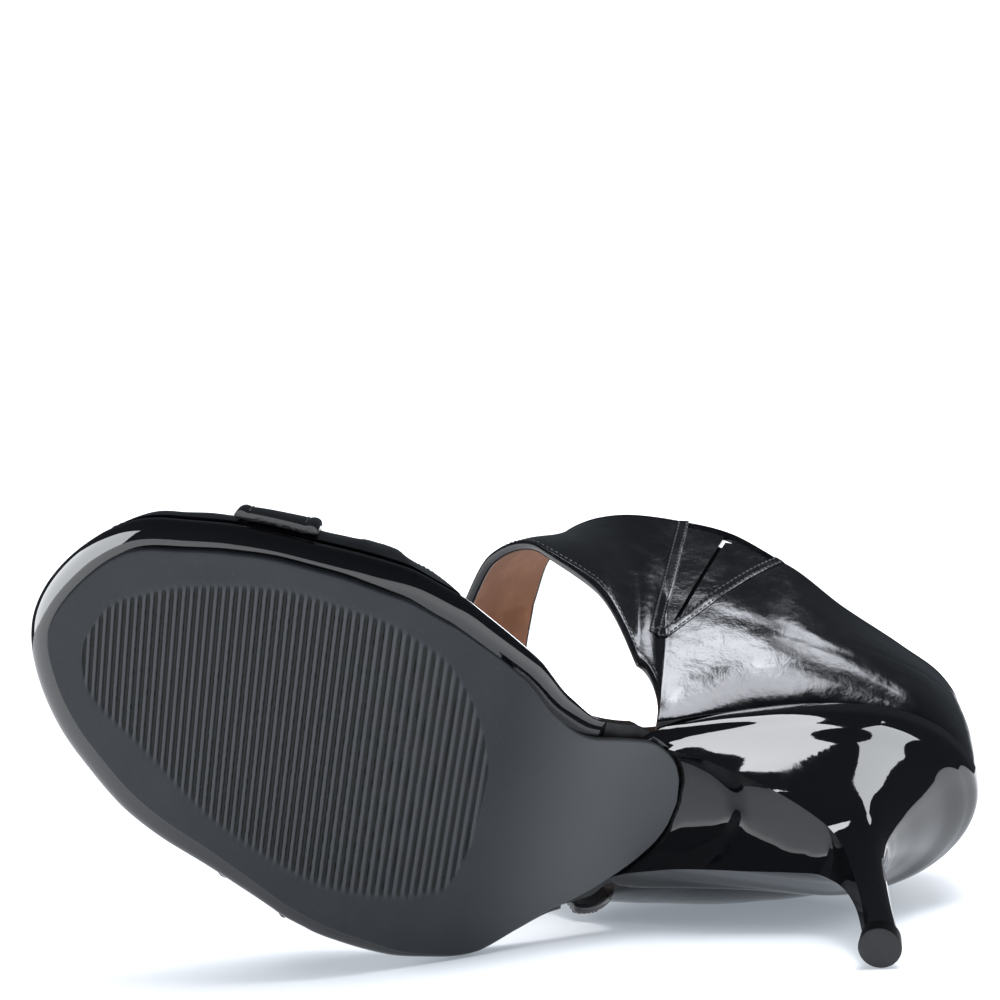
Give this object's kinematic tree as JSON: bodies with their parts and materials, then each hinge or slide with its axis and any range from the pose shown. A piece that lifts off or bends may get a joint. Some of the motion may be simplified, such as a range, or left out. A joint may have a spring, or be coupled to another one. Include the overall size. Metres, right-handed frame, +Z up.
{
  "type": "high-heeled open-toe sandal",
  "caption": "Right stiletto sandal with a platform, a forefoot band under a crossing loop, a gusseted ankle cuff and a glossy heel, lying on its lateral side.",
  "frame": {"origin": "centre of the bounding box, on the floor on which the shoe lies", "axes": "+X towards the toe along the floor, +Y towards the side that the tread faces, +Z up, which is the shoe's medial side"},
  "size_m": [0.2082, 0.1602, 0.1056],
  "materials": {
    "rubber": "matt ribbed blue-black rubber",
    "patent": "mirror-black patent skin",
    "sock": "tan lining leather, edges painted black",
    "hard_plastic": "dull black hard plastic",
    "upper": "glossy black leather with fine wrinkles"
  },
  "bodies": {
    "root": {"outsole": "rubber", "platform": "patent", "insole": "sock", "heel": "patent", "top_lift": "hard_plastic", "toe_band": "upper", "band_loop": "upper", "ankle_cuff": "upper", "gusset_medial": "upper", "gusset_lateral": "upper"}
  },
  "joints": []
}
